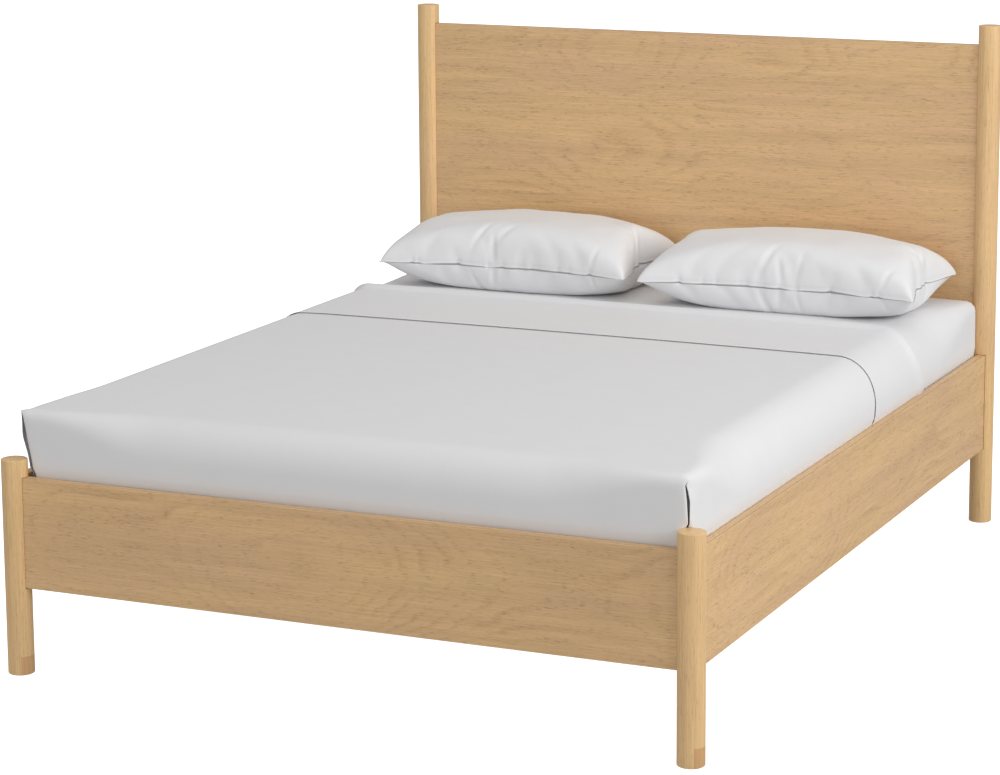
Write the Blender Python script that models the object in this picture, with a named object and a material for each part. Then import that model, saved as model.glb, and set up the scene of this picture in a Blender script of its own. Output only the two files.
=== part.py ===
"""Queen-size low-post panel bed: round oak posts, oak panels, slatted base, mattress, sheets and pillows.

Frame: origin on the floor under the middle of the bed, +X to the right side rail as seen from the foot of the
bed, +Y towards the headboard, +Z up. All sizes are in metres.
"""

import math

import bmesh
import bpy
from mathutils import Matrix, Vector

# Driving dimensions of the frame
POST_SPACING_X = 1.590
POST_SPACING_Y = 2.100
POST_DIAMETER = 0.059
POST_EDGE_ROUND = 0.0025
FOOT_POST_TOP = 0.490
HEAD_POST_TOP = 1.3025
RAIL_BOTTOM = 0.201
RAIL_TOP = 0.450
RAIL_THICKNESS = 0.024
HEADBOARD_TOP = 1.252
PANEL_EDGE_ROUND = 0.0012
RAIL_END_FROM_POST_AXIS = 0.0195
GAP = 0.0003

# Slatted base
SLAT_TOP = 0.345
SLAT_THICKNESS = 0.018
SLAT_WIDTH = 0.070
SLAT_LENGTH = 1.556
SLAT_COUNT = 14
SLAT_SPAN = 1.960
LEDGER_WIDTH = 0.030
LEDGER_HEIGHT = 0.040
LEDGER_LENGTH = 2.034
WEBBING_WIDTH = 0.025
WEBBING_THICKNESS = 0.0012
WEBBING_OFFSET = 0.450
WEBBING_LENGTH = 2.026
BEAM_WIDTH = 0.040
BEAM_HEIGHT = 0.070
CENTRE_LEG_SIDE = 0.045
CENTRE_LEG_BOTTOM = 0.030
CENTRE_LEG_Y = 0.350

# Steel and plastic hardware
PLATE = 0.0025
BRACE_BOTTOM = 0.212
BRACE_HEIGHT = 0.060
BRACE_REACH = 0.108
BRACE_TURN = 0.077
BOLT_RADIUS = 0.004
BOLT_START = 0.0083
BOLT_END = 0.079
NUT_ACROSS_FLATS = 0.013
NUT_HEIGHT = 0.0065
POST_GLIDE_RADIUS = 0.015
POST_GLIDE_HEIGHT = 0.003
POST_GLIDE_SPIKE_RADIUS = 0.0025
POST_GLIDE_SPIKE_TOP = 0.020
LEG_GLIDE_RADIUS = 0.019
LEG_GLIDE_HEIGHT = 0.008
LEG_GLIDE_TRAVEL = 0.015
LEG_GLIDE_STEM = 0.030
LEG_BOLT_REACH = 0.035
STIRRUP_EAR = 0.018
STIRRUP_DEPTH = 0.045
STIRRUP_BELOW_BEAM_TOP = 0.012
CHAMFER = 0.002

# Mattress, sheets and pillows
MATTRESS_HALF = Vector((0.770, 1.023))
MATTRESS_CENTRE_Y = -0.002
MATTRESS_BOTTOM = 0.347
MATTRESS_TOP = 0.590
MATTRESS_CORNER = 0.055
MATTRESS_EDGE = 0.045
FITTED_THICKNESS = 0.0022
FITTED_BOTTOM = 0.352
FLAT_HALF = Vector((0.7812, 1.0345))
FLAT_BOTTOM = 0.400
FLAT_TOP = 0.5962
FLAT_LOOSENESS = 0.008
TURN_BACK_TOP = 0.6010
TURN_BACK_HEM_Y = 0.184
TURN_BACK_FOLD_Y = 0.545
PILLOW_SEAM = 0.656
PILLOW_BOTTOM = 0.5935
PILLOW_CROWN = 0.120
PILLOW_BELLY = 0.090
PILLOW_PULL_IN = 0.055
PILLOW_FLATNESS = 4
PILLOW_SQUARENESS = 0.62
PILLOWS = {
    "pillow_left": {"centre": (-0.380, 0.812), "half": (0.352, 0.212)},
    "pillow_right": {"centre": (0.374, 0.802), "half": (0.370, 0.212)},
}

HALF_X = POST_SPACING_X / 2
HALF_Y = POST_SPACING_Y / 2
POST_RADIUS = POST_DIAMETER / 2
INNER_X = HALF_X - RAIL_THICKNESS / 2
INNER_Y = HALF_Y - RAIL_THICKNESS / 2
SLAT_BOTTOM = SLAT_TOP - SLAT_THICKNESS
POST_SEGMENTS = 48
SMALL_SEGMENTS = 16
SMOOTH_ANGLE = math.radians(35)
SIDES = {"left": -1, "right": 1}
ENDS = {"foot": -1, "head": 1}


def clear_scene():
    for obj in list(bpy.data.objects):
        bpy.data.objects.remove(obj, do_unlink=True)


def make_material(name, colour, roughness, metallic=0.0):
    material = bpy.data.materials.new(name)
    material.use_nodes = True
    shader = material.node_tree.nodes["Principled BSDF"]
    shader.inputs["Base Color"].default_value = (*colour, 1.0)
    shader.inputs["Roughness"].default_value = roughness
    shader.inputs["Metallic"].default_value = metallic
    material.diffuse_color = (*colour, 1.0)
    return material


def add_object(name, bm, material, location=(0, 0, 0), rotation=(0, 0, 0)):
    bmesh.ops.recalc_face_normals(bm, faces=bm.faces)
    mesh = bpy.data.meshes.new(name)
    bm.to_mesh(mesh)
    bm.free()
    mesh.shade_smooth()
    mesh.set_sharp_from_angle(angle=SMOOTH_ANGLE)
    obj = bpy.data.objects.new(name, mesh)
    obj.location = location
    obj.rotation_euler = rotation
    bpy.context.scene.collection.objects.link(obj)
    if material:
        mesh.materials.append(material)
    return obj


def box(low, high, edge_round=0.0, steps=2):
    """A block between two corners, its edges rounded by edge_round in that many steps."""
    low, high = Vector(low), Vector(high)
    bm = bmesh.new()
    bmesh.ops.create_cube(bm, size=1.0)
    bmesh.ops.scale(bm, vec=high - low, verts=bm.verts)
    bmesh.ops.translate(bm, vec=(low + high) / 2, verts=bm.verts)
    if edge_round:
        bmesh.ops.bevel(
            bm, geom=bm.edges[:], offset=edge_round, segments=steps, profile=0.5, affect="EDGES"
        )
    return bm


def turned(profile, segments):
    """A solid of revolution about Z, from (radius, height) points that start and end on the axis."""
    bm = bmesh.new()
    verts = [bm.verts.new((radius, 0, height)) for radius, height in profile]
    edges = [bm.edges.new(pair) for pair in zip(verts, verts[1:])]
    bmesh.ops.spin(
        bm, geom=verts + edges, cent=(0, 0, 0), axis=(0, 0, 1), angle=math.tau, steps=segments,
        use_merge=True,
    )
    bmesh.ops.remove_doubles(bm, verts=bm.verts, dist=1e-6)
    return bm


def prism(outline, low, high):
    """A flat outline in X and Y, extruded from one height to another."""
    bm = bmesh.new()
    face = bm.faces.new([bm.verts.new((x, y, low)) for x, y in outline])
    grown = bmesh.ops.extrude_face_region(bm, geom=[face])["geom"]
    raised = [item for item in grown if isinstance(item, bmesh.types.BMVert)]
    bmesh.ops.translate(bm, vec=(0, 0, high - low), verts=raised)
    return bm


def add_cutter(name, bm, location=(0, 0, 0), rotation=(0, 0, 0)):
    cutter = add_object(name, bm, None, location, rotation)
    cutter.hide_render = True
    cutter.display_type = "WIRE"
    return cutter


def combine(obj, other, operation="DIFFERENCE"):
    modifier = obj.modifiers.new(other.name, "BOOLEAN")
    modifier.object = other
    modifier.operation = operation
    modifier.solver = "EXACT"


def rod(radius, start, end, segments=SMALL_SEGMENTS):
    return turned([(0, start), (radius, start), (radius, end), (0, end)], segments)


def rounded_edge_profile(radius, low, high, edge_round):
    """Outline of a turned post whose two ends are rounded over."""
    turn = [math.radians(angle) for angle in (0, 45, 90)]
    lower = [
        (radius - edge_round * (1 - math.sin(a)), low + edge_round * (1 - math.cos(a))) for a in turn
    ]
    upper = [
        (radius - edge_round * (1 - math.cos(a)), high - edge_round * (1 - math.sin(a))) for a in turn
    ]
    return [(0, low), *lower, *upper, (0, high)]


def make_posts(oak):
    """Round posts with a housing for each rail, a pilot for the glide and a hole for the hanger bolt."""
    housing_start = RAIL_END_FROM_POST_AXIS - GAP
    half_width = RAIL_THICKNESS / 2 + GAP
    past_surface = POST_RADIUS + 0.01
    bolt_height = BRACE_BOTTOM + BRACE_HEIGHT / 2
    for end, along in ENDS.items():
        top = HEAD_POST_TOP if end == "head" else FOOT_POST_TOP
        cross_top = HEADBOARD_TOP if end == "head" else RAIL_TOP
        for side, across in SIDES.items():
            name = f"post_{end}_{side}"
            place = (across * HALF_X, along * HALF_Y, 0)
            profile = rounded_edge_profile(POST_RADIUS, POST_GLIDE_HEIGHT, top, POST_EDGE_ROUND)
            post = add_object(name, turned(profile, POST_SEGMENTS), oak, place)
            cross = sorted((-across * housing_start, -across * past_surface))
            long = sorted((-along * housing_start, -along * past_surface))
            cutters = {
                "cross_housing": box(
                    (cross[0], -half_width, RAIL_BOTTOM - GAP), (cross[1], half_width, cross_top + GAP)
                ),
                "side_housing": box(
                    (-half_width, long[0], RAIL_BOTTOM - GAP), (half_width, long[1], RAIL_TOP + GAP)
                ),
                "glide_pilot": rod(
                    POST_GLIDE_SPIKE_RADIUS + GAP, -0.01, POST_GLIDE_SPIKE_TOP + 2 * GAP
                ),
            }
            for label, cutter in cutters.items():
                combine(post, add_cutter(f"{name}_{label}", cutter, place))
            hole = rod(BOLT_RADIUS + GAP, BOLT_START - GAP, past_surface)
            lean = Vector((0, 0, 1)).rotation_difference(Vector((-across, -along, 0)))
            bmesh.ops.rotate(hole, verts=hole.verts, cent=(0, 0, 0), matrix=lean.to_matrix())
            hole_place = (place[0], place[1], bolt_height)
            combine(post, add_cutter(f"{name}_bolt_hole", hole, hole_place))


def make_panels(oak):
    """Headboard, foot rail and side rails, whose square ends sit in the posts' housings."""
    reach_x = HALF_X - RAIL_END_FROM_POST_AXIS
    reach_y = HALF_Y - RAIL_END_FROM_POST_AXIS
    half = RAIL_THICKNESS / 2
    spans = {
        "headboard_panel": ((-reach_x, HALF_Y - half), (reach_x, HALF_Y + half), HEADBOARD_TOP),
        "foot_rail": ((-reach_x, -HALF_Y - half), (reach_x, -HALF_Y + half), RAIL_TOP),
        "side_rail_left": ((-HALF_X - half, -reach_y), (-HALF_X + half, reach_y), RAIL_TOP),
        "side_rail_right": ((HALF_X - half, -reach_y), (HALF_X + half, reach_y), RAIL_TOP),
    }
    for name, (low, high, top) in spans.items():
        add_object(name, box((*low, RAIL_BOTTOM), (*high, top), PANEL_EDGE_ROUND), oak)


def make_slatted_base(pine, webbing):
    """Ledgers on the side rails, the slats across them, and the two tapes that space the slats."""
    ledger_top = SLAT_BOTTOM - GAP
    for side, across in SIDES.items():
        ends = sorted((across * (INNER_X - GAP), across * (INNER_X - LEDGER_WIDTH)))
        low = (ends[0], -LEDGER_LENGTH / 2, ledger_top - LEDGER_HEIGHT)
        high = (ends[1], LEDGER_LENGTH / 2, ledger_top)
        add_object(f"slat_ledger_{side}", box(low, high, 0.001, 1), pine)
        tape_middle = across * WEBBING_OFFSET
        tape_low = SLAT_TOP + GAP
        low = (tape_middle - WEBBING_WIDTH / 2, -WEBBING_LENGTH / 2, tape_low)
        high = (tape_middle + WEBBING_WIDTH / 2, WEBBING_LENGTH / 2, tape_low + WEBBING_THICKNESS)
        add_object(f"slat_webbing_{side}", box(low, high), webbing)
    pitch = SLAT_SPAN / (SLAT_COUNT - 1)
    for index in range(SLAT_COUNT):
        middle = -SLAT_SPAN / 2 + index * pitch
        low = (-SLAT_LENGTH / 2, -SLAT_WIDTH / 2, SLAT_BOTTOM)
        high = (SLAT_LENGTH / 2, SLAT_WIDTH / 2, SLAT_TOP)
        add_object(f"slat_{index + 1:02d}", box(low, high, 0.002, 1), pine, (0, middle, 0))


def make_centre_support(pine, steel, plastic):
    """Beam under the slats, the stirrups that hold its ends, and its two legs with screw-in feet."""
    beam_top = SLAT_BOTTOM - GAP
    beam_bottom = beam_top - BEAM_HEIGHT
    beam_reach = INNER_Y - PLATE - 2 * GAP
    low = (-BEAM_WIDTH / 2, -beam_reach, beam_bottom)
    high = (BEAM_WIDTH / 2, beam_reach, beam_top)
    beam = add_object("centre_beam", box(low, high, 0.002), pine)
    inner = BEAM_WIDTH / 2 + GAP
    outer = inner + PLATE
    shelf = beam_bottom - GAP
    cheek_top = beam_top - STIRRUP_BELOW_BEAM_TOP
    for end, along in ENDS.items():
        near = along * (INNER_Y - GAP)
        back = sorted((near, near - along * PLATE))
        deep = sorted((near - along * PLATE / 2, near - along * STIRRUP_DEPTH))
        plate_low = (-outer - STIRRUP_EAR, back[0], shelf - PLATE)
        stirrup = add_object(
            f"beam_stirrup_{end}", box(plate_low, (outer + STIRRUP_EAR, back[1], cheek_top)), steel
        )
        outline = [
            (-outer, shelf - PLATE / 2), (outer, shelf - PLATE / 2), (outer, cheek_top - CHAMFER),
            (inner, cheek_top - CHAMFER), (inner, shelf), (-inner, shelf), (-inner, cheek_top - CHAMFER),
            (-outer, cheek_top - CHAMFER),
        ]
        saddle = prism([(x, z) for x, z in outline], -deep[1], -deep[0])
        stand_up = Matrix.Rotation(math.radians(90), 3, "X")
        bmesh.ops.rotate(saddle, verts=saddle.verts, cent=(0, 0, 0), matrix=stand_up)
        combine(stirrup, add_cutter(f"beam_stirrup_{end}_saddle", saddle), "UNION")

        place = (0, along * CENTRE_LEG_Y, 0)
        side = CENTRE_LEG_SIDE / 2
        leg_top = beam_bottom - GAP
        leg_shape = box((-side, -side, CENTRE_LEG_BOTTOM), (side, side, leg_top), 0.003)
        leg = add_object(f"centre_leg_{end}", leg_shape, pine, place)
        bolt_low, bolt_high = leg_top - LEG_BOLT_REACH, leg_top + LEG_BOLT_REACH
        bolt = rod(BOLT_RADIUS, bolt_low, bolt_high)
        add_object(f"centre_leg_bolt_{end}", bolt, steel, place)
        bolt_hole = rod(BOLT_RADIUS + GAP, bolt_low - GAP, bolt_high + GAP)
        bolt_cutter = add_cutter(f"centre_leg_{end}_bolt_hole", bolt_hole, place)
        combine(leg, bolt_cutter)
        combine(beam, bolt_cutter)

        stem_top = CENTRE_LEG_BOTTOM + LEG_GLIDE_STEM
        foot = [
            (0, 0), (LEG_GLIDE_RADIUS - CHAMFER, 0), (LEG_GLIDE_RADIUS, CHAMFER),
            (LEG_GLIDE_RADIUS, LEG_GLIDE_HEIGHT - CHAMFER), (2 * BOLT_RADIUS, LEG_GLIDE_HEIGHT),
            (BOLT_RADIUS, LEG_GLIDE_HEIGHT), (BOLT_RADIUS, stem_top), (0, stem_top),
        ]
        add_object(f"leg_glide_{end}", turned(foot, SMALL_SEGMENTS), plastic, place)
        stem_hole = rod(BOLT_RADIUS + GAP, 0.0, stem_top + LEG_GLIDE_TRAVEL + CHAMFER)
        combine(leg, add_cutter(f"centre_leg_{end}_stem_hole", stem_hole, place))


def make_post_glides(plastic):
    for end, along in ENDS.items():
        for side, across in SIDES.items():
            head_top = POST_GLIDE_HEIGHT - GAP
            profile = [
                (0, 0), (POST_GLIDE_RADIUS - 0.001, 0), (POST_GLIDE_RADIUS, 0.001),
                (POST_GLIDE_RADIUS, head_top), (POST_GLIDE_SPIKE_RADIUS, head_top),
                (POST_GLIDE_SPIKE_RADIUS, POST_GLIDE_SPIKE_TOP), (0, POST_GLIDE_SPIKE_TOP),
            ]
            place = (across * HALF_X, along * HALF_Y, 0)
            add_object(f"post_glide_{end}_{side}", turned(profile, SMALL_SEGMENTS), plastic, place)


def brace_outline():
    """Plan of a corner brace, in the corner of two rails whose middle planes cross at the origin."""
    near = RAIL_THICKNESS / 2 + GAP
    far = near + PLATE
    shift = PLATE * (math.sqrt(2) - 1)
    post_side = [(BRACE_REACH, near), (BRACE_TURN, near), (near, BRACE_TURN), (near, BRACE_REACH)]
    room_side = [
        (far, BRACE_REACH), (far, BRACE_TURN + shift), (BRACE_TURN + shift, far), (BRACE_REACH, far)
    ]
    return post_side + room_side


def make_corner_joints(steel):
    """A bent steel brace across each corner, a hanger bolt from the post through it, and its nut."""
    height = BRACE_BOTTOM + BRACE_HEIGHT / 2
    room_face = (BRACE_TURN + RAIL_THICKNESS / 2 + GAP) / math.sqrt(2) + PLATE
    for end, along in ENDS.items():
        for side, across in SIDES.items():
            corner = f"{end}_{side}"
            place = Vector((across * HALF_X, along * HALF_Y, 0))
            outline = [(-across * x, -along * y) for x, y in brace_outline()]
            plate = prism(outline, BRACE_BOTTOM, BRACE_BOTTOM + BRACE_HEIGHT)
            brace = add_object(f"corner_brace_{corner}", plate, steel, place)
            inward = Vector((-across, -along, 0)).normalized()
            lean = Vector((0, 0, 1)).rotation_difference(inward).to_euler()
            place_up = place + Vector((0, 0, height))
            hole = rod(BOLT_RADIUS + 2 * GAP, 0.050, 0.090)
            combine(brace, add_cutter(f"corner_brace_{corner}_hole", hole, place_up, lean))
            bolt = rod(BOLT_RADIUS, BOLT_START, BOLT_END)
            add_object(f"hanger_bolt_{corner}", bolt, steel, place_up, lean)
            nut_start = room_face + GAP
            flats = NUT_ACROSS_FLATS / math.sqrt(3)
            hexagon = [
                (flats * math.cos(math.radians(a)), flats * math.sin(math.radians(a)))
                for a in range(0, 360, 60)
            ]
            nut_shape = prism(hexagon, nut_start, nut_start + NUT_HEIGHT)
            nut = add_object(f"hanger_nut_{corner}", nut_shape, steel, place_up, lean)
            bore = rod(BOLT_RADIUS + GAP, nut_start - 0.01, nut_start + NUT_HEIGHT + 0.01)
            combine(nut, add_cutter(f"hanger_nut_{corner}_bore", bore, place_up, lean))


def soft_block(half, low, high, corner, edge, corner_steps=6, edge_steps=3):
    """A block with upright corners of radius corner and its top and bottom edges rounded by edge."""
    levels = []
    for step in range(edge_steps + 1):
        turn = math.pi / 2 * step / edge_steps
        levels.append((edge * (1 - math.sin(turn)), low + edge * (1 - math.cos(turn))))
    for step in range(edge_steps + 1):
        turn = math.pi / 2 * step / edge_steps
        levels.append((edge * (1 - math.cos(turn)), high - edge * (1 - math.sin(turn))))
    bm = bmesh.new()
    rings = []
    for inset, height in levels:
        ring = []
        for quarter in range(4):
            sign_x = 1 if quarter in (0, 3) else -1
            sign_y = 1 if quarter in (0, 1) else -1
            for step in range(corner_steps + 1):
                turn = math.pi / 2 * (quarter + step / corner_steps)
                reach = corner - inset
                x = sign_x * (half[0] - corner) + reach * math.cos(turn)
                y = sign_y * (half[1] - corner) + reach * math.sin(turn)
                ring.append(bm.verts.new((x, y, height)))
        rings.append(ring)
    count = len(rings[0])
    for lower, upper in zip(rings, rings[1:]):
        for i in range(count):
            j = (i + 1) % count
            bm.faces.new((lower[i], lower[j], upper[j], upper[i]))
    bm.faces.new(rings[0][::-1])
    bm.faces.new(rings[-1])
    return bm


def make_mattress_and_sheets(ticking, cotton):
    """Mattress, the fitted sheet round it, and the flat sheet tucked in and turned back at the head."""
    place = (0, MATTRESS_CENTRE_Y, 0)
    block = soft_block(MATTRESS_HALF, MATTRESS_BOTTOM, MATTRESS_TOP, MATTRESS_CORNER, MATTRESS_EDGE)
    add_object("mattress", block, ticking, place)

    def grown(by, low, high):
        half = MATTRESS_HALF + Vector((by, by))
        return soft_block(half, low, high, MATTRESS_CORNER + by, MATTRESS_EDGE + by)

    outer = GAP + FITTED_THICKNESS
    below = MATTRESS_BOTTOM - 0.15
    shell = grown(outer, FITTED_BOTTOM - 0.1, MATTRESS_TOP + outer)
    fitted = add_object("fitted_sheet", shell, cotton, place)
    hollow = add_cutter("fitted_sheet_hollow", grown(GAP, below, MATTRESS_TOP + GAP), place)
    open_below = box((-1, -2, 0), (1, 2, FITTED_BOTTOM))
    combine(fitted, hollow)
    combine(fitted, add_cutter("fitted_sheet_hem_cut", open_below))

    corner = MATTRESS_CORNER + FLAT_LOOSENESS
    edge = MATTRESS_EDGE + FLAT_LOOSENESS
    single = soft_block(FLAT_HALF, FLAT_BOTTOM - 0.1, FLAT_TOP, corner, edge)
    flat = add_object("flat_sheet", single, cotton, place)
    wider = FLAT_HALF + Vector((2 * GAP, 2 * GAP))
    doubled = add_cutter(
        "flat_sheet_turn_back", soft_block(wider, FLAT_BOTTOM - 0.1, TURN_BACK_TOP, corner, edge), place
    )
    strip = box((-1, TURN_BACK_HEM_Y, 0.2), (1, TURN_BACK_FOLD_Y + 0.1, 0.8))
    combine(doubled, add_cutter("flat_sheet_turn_back_strip", strip), "INTERSECT")
    combine(flat, doubled, "UNION")
    under = outer + GAP
    hollow = add_cutter("flat_sheet_hollow", grown(under, below, MATTRESS_TOP + under), place)
    combine(flat, hollow)
    combine(flat, add_cutter("flat_sheet_hem_cut", box((-1, -2, 0), (1, 2, FLAT_BOTTOM))))
    combine(flat, add_cutter("flat_sheet_head_cut", box((-1, TURN_BACK_FOLD_Y, 0), (1, 2, 1))))


def make_pillow(name, centre, half, cotton, columns=16, rows=12):
    """A crowned pillow: two domed faces that meet in a seam whose sides pull in between the corners."""
    bm = bmesh.new()

    def plan_point(u, v):
        x = u * half[0] * (1 - PILLOW_PULL_IN * (1 - v * v))
        y = v * half[1] * (1 - 2 * PILLOW_PULL_IN * (1 - u * u))
        return x, y

    def fullness(u, v):
        across = 1 - u ** PILLOW_FLATNESS
        along = 1 - v ** PILLOW_FLATNESS
        return across ** PILLOW_SQUARENESS * along ** PILLOW_SQUARENESS

    faces_by_side = []
    border = {}
    for side, rise in (("top", PILLOW_CROWN), ("bottom", -PILLOW_BELLY)):
        grid = {}
        for i in range(columns + 1):
            for j in range(rows + 1):
                u = math.sin(math.pi / 2 * (2 * i / columns - 1))
                v = math.sin(math.pi / 2 * (2 * j / rows - 1))
                on_seam = i in (0, columns) or j in (0, rows)
                if on_seam and (i, j) in border:
                    grid[i, j] = border[i, j]
                    continue
                x, y = plan_point(u, v)
                z = max(PILLOW_SEAM + rise * (0 if on_seam else fullness(u, v)), PILLOW_BOTTOM)
                grid[i, j] = bm.verts.new((x, y, z))
                if on_seam:
                    border[i, j] = grid[i, j]
        faces_by_side.append(grid)
    for grid in faces_by_side:
        for i in range(columns):
            for j in range(rows):
                bm.faces.new((grid[i, j], grid[i + 1, j], grid[i + 1, j + 1], grid[i, j + 1]))
    return add_object(name, bm, cotton, (*centre, 0))


def main():
    clear_scene()
    oak = make_material("natural_oak", (0.53, 0.35, 0.18), 0.45)
    pine = make_material("pine", (0.62, 0.46, 0.27), 0.60)
    webbing = make_material("polyester_webbing", (0.60, 0.58, 0.54), 0.80)
    steel = make_material("zinc_plated_steel", (0.56, 0.57, 0.58), 0.35, 1.0)
    plastic = make_material("nylon", (0.05, 0.05, 0.05), 0.50)
    ticking = make_material("mattress_ticking", (0.72, 0.71, 0.69), 0.85)
    cotton = make_material("cotton_sheeting", (0.78, 0.78, 0.79), 0.80)
    make_posts(oak)
    make_panels(oak)
    make_slatted_base(pine, webbing)
    make_centre_support(pine, steel, plastic)
    make_post_glides(plastic)
    make_corner_joints(steel)
    make_mattress_and_sheets(ticking, cotton)
    for name, pillow in PILLOWS.items():
        make_pillow(name, pillow["centre"], pillow["half"], cotton)


main()
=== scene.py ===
import math
from functools import partial

import bpy
import numpy as np
from mathutils import Matrix, Vector


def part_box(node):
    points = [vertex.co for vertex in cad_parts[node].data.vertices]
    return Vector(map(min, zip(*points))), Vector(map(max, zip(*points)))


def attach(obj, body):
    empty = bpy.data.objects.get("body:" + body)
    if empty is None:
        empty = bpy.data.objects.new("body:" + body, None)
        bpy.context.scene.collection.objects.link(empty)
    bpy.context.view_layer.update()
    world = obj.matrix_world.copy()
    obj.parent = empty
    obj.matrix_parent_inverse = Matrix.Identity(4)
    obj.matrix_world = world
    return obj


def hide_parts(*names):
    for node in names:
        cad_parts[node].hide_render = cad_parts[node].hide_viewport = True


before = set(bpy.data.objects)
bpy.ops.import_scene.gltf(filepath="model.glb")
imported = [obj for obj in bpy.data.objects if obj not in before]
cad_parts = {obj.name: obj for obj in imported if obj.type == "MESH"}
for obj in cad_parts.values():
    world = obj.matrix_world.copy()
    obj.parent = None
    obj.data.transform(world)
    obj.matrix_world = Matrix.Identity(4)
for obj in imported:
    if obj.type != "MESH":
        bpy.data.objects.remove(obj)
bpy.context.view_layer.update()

scene = bpy.context.scene
scene.view_settings.view_transform = "Standard"
print("frame loaded:", len(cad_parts), "parts")


# shared helpers

def toLinear(hexColour):
    channels = [int(hexColour[i:i + 2], 16) / 255 for i in (1, 3, 5)]
    linear = [c / 12.92 if c <= 0.04045 else ((c + 0.055) / 1.055) ** 2.4 for c in channels]
    return (*linear, 1.0)


def setInputs(node, inputs):
    # Links each input to a socket, or sets a constant straight on it
    for place, value in inputs.items():
        if isinstance(value, bpy.types.NodeSocket):
            node.id_data.links.new(value, node.inputs[place])
        else:
            node.inputs[place].default_value = value


def addNode(tree, kind, inputs=None, stops=None, out=0, **settings):
    # Adds one node with its settings and links, and gives back the output that is used
    made = tree.nodes.new("ShaderNode" + kind)
    for name, value in settings.items():
        setattr(made, name, value)
    setInputs(made, inputs or {})
    if stops:
        ramp = made.color_ramp
        ramp.elements[0].position, ramp.elements[0].color = stops[0]
        ramp.elements[1].position, ramp.elements[1].color = stops[-1]
        for position, colour in stops[1:-1]:
            ramp.elements.new(position).color = colour
    return made.outputs[out] if len(made.outputs) else made


def newMaterial(name):
    material = bpy.data.materials.new(name)
    material.use_nodes = True
    material.node_tree.nodes.clear()
    add = partial(addNode, material.node_tree)
    surface = add("BsdfPrincipled")
    add("OutputMaterial", {"Surface": surface})
    return material, add, surface.node


def meshObject(name, points, faces, material, uvs=None):
    mesh = bpy.data.meshes.new(name)
    mesh.from_pydata([tuple(p) for p in points], [], [tuple(f) for f in faces])
    if uvs is not None:
        layer = mesh.uv_layers.new(name="cloth")
        corners = np.empty(len(mesh.loops), np.int32)
        mesh.loops.foreach_get("vertex_index", corners)
        layer.data.foreach_set("uv", np.asarray(uvs, np.float32)[corners].ravel())
    mesh.shade_smooth()
    mesh.materials.append(material)
    made = bpy.data.objects.new(name, mesh)
    scene.collection.objects.link(made)
    return made


def settled(obj):
    # The object's mesh with its modifiers applied
    bpy.context.view_layer.update()
    graph = bpy.context.evaluated_depsgraph_get()
    mesh = bpy.data.meshes.new_from_object(obj.evaluated_get(graph), depsgraph=graph)
    obj.modifiers.clear()
    obj.data = mesh
    return obj


def smoothStep(value, low, high):
    t = np.clip((value - low) / (high - low), 0, 1)
    return t * t * (3 - 2 * t)


def softNoise(x, y, seed):
    # Smooth seeded noise from -1 to 1, one bump per unit of x and y
    lattice = np.random.default_rng(seed).uniform(-1, 1, (64, 64))
    x0, y0 = np.floor(x).astype(int), np.floor(y).astype(int)
    fx, fy = x - x0, y - y0
    fx, fy = fx * fx * (3 - 2 * fx), fy * fy * (3 - 2 * fy)
    near = lattice[x0 % 64, y0 % 64] * (1 - fx) + lattice[(x0 + 1) % 64, y0 % 64] * fx
    far = lattice[x0 % 64, (y0 + 1) % 64] * (1 - fx) + lattice[(x0 + 1) % 64, (y0 + 1) % 64] * fx
    return near * (1 - fy) + far * fy


# camera, floor and light

camera = {
    "lens": 112.7,
    "sensor": 36.0,
    "shift": (-0.05, -0.10),
    "place": (2.9647, -6.6907, 2.1018),
    "yaw": 23.70,
    "pitch": 10.49,
    "roll": -0.233,
    "seesTo": 60,
}


def makeCamera():
    data = bpy.data.cameras.new("camera")
    data.sensor_width = camera["sensor"]
    data.lens = camera["lens"]
    data.shift_x, data.shift_y = camera["shift"]
    data.clip_end = camera["seesTo"]
    made = bpy.data.objects.new("camera", data)
    scene.collection.objects.link(made)
    yaw, pitch, roll = (math.radians(camera[k]) for k in ("yaw", "pitch", "roll"))
    ahead = Vector((-math.sin(yaw) * math.cos(pitch), math.cos(yaw) * math.cos(pitch), -math.sin(pitch)))
    right = ahead.cross(Vector((0, 0, 1))).normalized()
    up = right.cross(ahead)
    leanRight = right * math.cos(roll) + up * math.sin(roll)
    leanUp = up * math.cos(roll) - right * math.sin(roll)
    turn = Matrix((leanRight, leanUp, -ahead)).transposed().to_4x4()
    made.matrix_world = Matrix.Translation(camera["place"]) @ turn
    scene.camera = made


studio = {
    "floorColour": "#e6e6e6",
    "floorGlow": 1.0,
    "floorReach": 30,
    "worldStrength": 0.39,
    "aim": (0, 0, 0.5),
    "lamps": {
        "window": {"at": (6.0, -1.5, 3.0), "size": (5.0, 4.0), "power": 248},
        "front": {"at": (-1.5, -7.0, 2.6), "size": (5.0, 3.5), "power": 85},
        "above": {"at": (0.0, 0.0, 5.5), "size": (5.0, 5.0), "power": 52},
    },
}


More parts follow.
